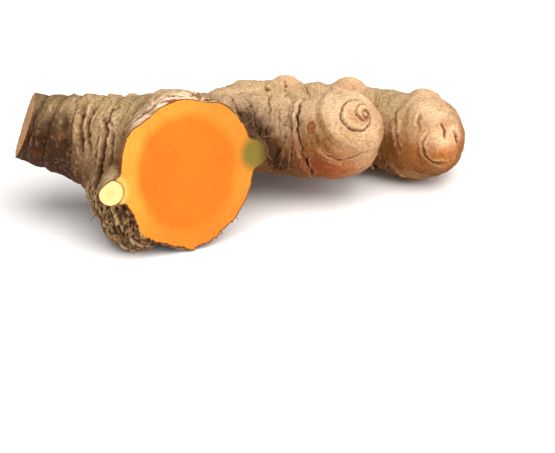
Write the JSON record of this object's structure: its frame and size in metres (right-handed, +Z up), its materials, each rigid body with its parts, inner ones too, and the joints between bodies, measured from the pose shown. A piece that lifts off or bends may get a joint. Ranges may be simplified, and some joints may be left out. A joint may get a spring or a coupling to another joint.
{
  "type": "turmeric root",
  "caption": "Fresh turmeric rhizome lying on its side, sliced flat across its thick end, with a snapped older stub and ringed fingers that end in buds.",
  "frame": {"origin": "centre of the footprint of the whole hand, on the surface it lies on", "axes": "+X along the length of the hand, from the snapped stub towards the finger tips; -Y the side that the cut face looks towards; +Z up"},
  "size_m": [0.1044, 0.0592, 0.0363],
  "materials": {
    "skin": "matte"
  },
  "bodies": {
    "root": {"turmeric_root": "skin"}
  },
  "joints": []
}
